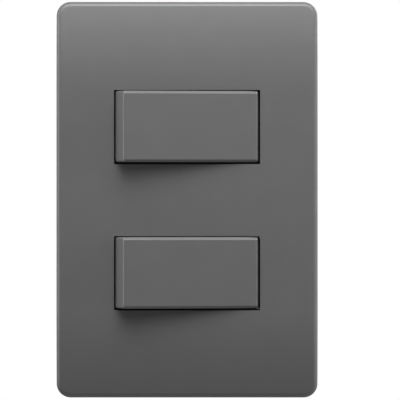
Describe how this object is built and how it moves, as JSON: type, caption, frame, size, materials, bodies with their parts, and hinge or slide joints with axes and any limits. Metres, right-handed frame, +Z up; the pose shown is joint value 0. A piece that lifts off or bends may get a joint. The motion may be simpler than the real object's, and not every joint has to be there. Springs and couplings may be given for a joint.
{
  "type": "rocker wall switch",
  "caption": "In-wall light switch in a tall plate with crowned ends: wide single-pole rockers, one above the other, that tip left and right, with casings and screw terminals behind.",
  "frame": {"origin": "middle of the unit on the wall's surface, which is the plane of the plate's rear rim", "axes": "+Z up, +Y into the wall, +X to the right as the user sees the front"},
  "size_m": [0.078, 0.0371, 0.1184],
  "materials": {
    "graphite_plastic": "satin graphite grey plastic with a fine grain",
    "frame_plastic": "dark grey engineering plastic, matt",
    "casing_plastic": "dark grey engineering plastic, matt",
    "base_plastic": "light grey heat-resistant plastic, matt",
    "plunger_plastic": "light grey low-friction plastic",
    "brass": "stamped brass strip",
    "silver": "silver alloy contact rivet",
    "zinc_steel": "zinc-plated steel",
    "spring_steel": "drawn spring wire"
  },
  "bodies": {
    "switch_body": {"cover_plate": "graphite_plastic", "support_frame": "frame_plastic", "upper_mounting_screw": "zinc_steel", "lower_mounting_screw": "zinc_steel", "upper_fixed_contact": "silver", "upper_module_cover": "casing_plastic", "upper_module_base": "base_plastic", "upper_common_terminal": "brass", "upper_fixed_terminal": "brass", "upper_common_clamp": "zinc_steel", "upper_fixed_clamp": "zinc_steel", "upper_common_screw": "zinc_steel", "upper_fixed_screw": "zinc_steel", "lower_fixed_contact": "silver", "lower_module_cover": "casing_plastic", "lower_module_base": "base_plastic", "lower_common_terminal": "brass", "lower_fixed_terminal": "brass", "lower_common_clamp": "zinc_steel", "lower_fixed_clamp": "zinc_steel", "lower_common_screw": "zinc_steel", "lower_fixed_screw": "zinc_steel"},
    "upper_rocker_body": {"upper_rocker": "graphite_plastic", "upper_plunger_spring": "spring_steel"},
    "upper_plunger_body": {"upper_plunger": "plunger_plastic"},
    "upper_contact_body": {"upper_contact_bar": "brass", "upper_moving_contact": "silver"},
    "lower_rocker_body": {"lower_rocker": "graphite_plastic", "lower_plunger_spring": "spring_steel"},
    "lower_plunger_body": {"lower_plunger": "plunger_plastic"},
    "lower_contact_body": {"lower_contact_bar": "brass", "lower_moving_contact": "silver"}
  },
  "joints": [
    {"name": "upper_rocker_hinge", "type": "hinge", "parent": "switch_body", "child": "upper_rocker_body", "pos_m": [0, -0.003, 0.0218], "axis": [0, 0, -1], "range_deg": [0, 14]},
    {"name": "upper_plunger_slide", "type": "slide", "parent": "upper_rocker_body", "child": "upper_plunger_body", "axis": [0.1219, -0.9925, 0], "range_m": [0, 0.0008], "stiffness_N_per_m": 300, "springref_m": -0.003, "deforming": ["upper_plunger_spring"]},
    {"name": "upper_contact_hinge", "type": "hinge", "parent": "switch_body", "child": "upper_contact_body", "pos_m": [0, 0.00685, 0.0218], "axis": [0, 0, -1], "range_deg": [-18, 0]},
    {"name": "lower_rocker_hinge", "type": "hinge", "parent": "switch_body", "child": "lower_rocker_body", "pos_m": [0, -0.003, -0.0218], "axis": [0, 0, -1], "range_deg": [0, 14]},
    {"name": "lower_plunger_slide", "type": "slide", "parent": "lower_rocker_body", "child": "lower_plunger_body", "axis": [0.1219, -0.9925, 0], "range_m": [0, 0.0008], "stiffness_N_per_m": 300, "springref_m": -0.003, "deforming": ["lower_plunger_spring"]},
    {"name": "lower_contact_hinge", "type": "hinge", "parent": "switch_body", "child": "lower_contact_body", "pos_m": [0, 0.00685, -0.0218], "axis": [0, 0, -1], "range_deg": [-18, 0]}
  ],
  "couplings": [
    {"joint": "upper_contact_hinge", "follows": "upper_rocker_hinge", "ratio": -1.2857},
    {"joint": "lower_contact_hinge", "follows": "lower_rocker_hinge", "ratio": -1.2857}
  ]
}
